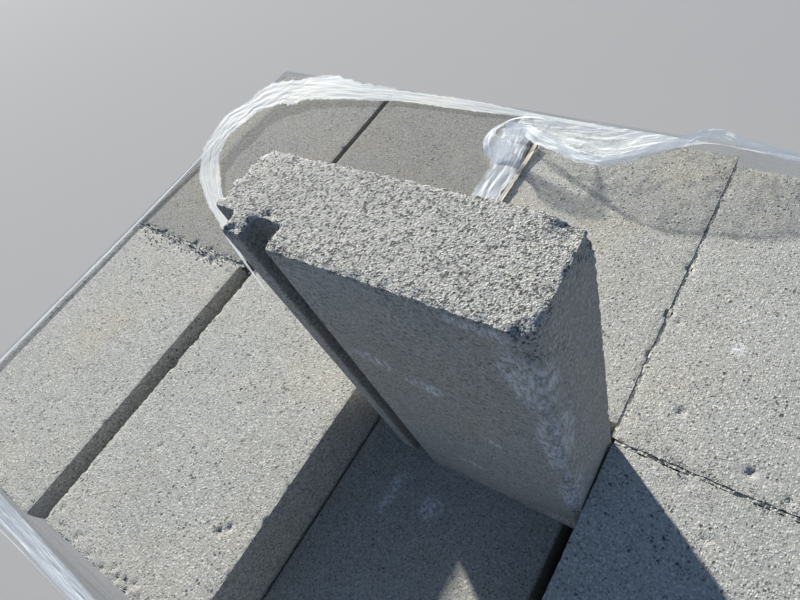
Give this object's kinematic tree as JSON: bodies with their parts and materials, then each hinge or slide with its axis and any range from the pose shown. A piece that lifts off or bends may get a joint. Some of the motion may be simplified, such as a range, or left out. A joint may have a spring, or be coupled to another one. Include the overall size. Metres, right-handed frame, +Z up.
{
  "type": "pallet of concrete blocks",
  "caption": "Wooden pallet of flat ribbed concrete wall blocks in clear stretch film, with a top block stood on end in its place.",
  "frame": {"origin": "on the ground, under the middle of the pallet", "axes": "+X along the pallet's stringers and across the blocks' width, +Y along the deck boards and the blocks' length, +Z up"},
  "size_m": [1.247, 1.016, 1.127],
  "materials": {
    "concrete": "dry pressed grey concrete, fine open grain",
    "pallet_timber": "rough sawn softwood, weathered",
    "stretch_film": "clear glossy film, whitish where it is gathered"
  },
  "bodies": {
    "root": {"block_layer_1": "concrete", "block_layer_2": "concrete", "block_layer_3": "concrete", "block_layer_4": "concrete", "block_layer_5": "concrete", "block_layer_6": "concrete", "bottom_board_1": "pallet_timber", "bottom_board_2": "pallet_timber", "bottom_board_3": "pallet_timber", "bottom_board_4": "pallet_timber", "bottom_board_5": "pallet_timber", "deck_board_1": "pallet_timber", "deck_board_2": "pallet_timber", "deck_board_3": "pallet_timber", "deck_board_4": "pallet_timber", "deck_board_5": "pallet_timber", "deck_board_6": "pallet_timber", "deck_board_7": "pallet_timber", "stretch_film": "stretch_film", "stringer_back": "pallet_timber", "stringer_front": "pallet_timber", "stringer_middle": "pallet_timber", "top_block_back_left": "concrete", "top_block_back_middle_left": "concrete", "top_block_back_middle_right": "concrete", "top_block_back_right": "concrete", "top_block_front_left": "concrete", "top_block_front_middle": "concrete", "top_block_front_right": "concrete", "upright_block": "concrete"}
  },
  "joints": []
}
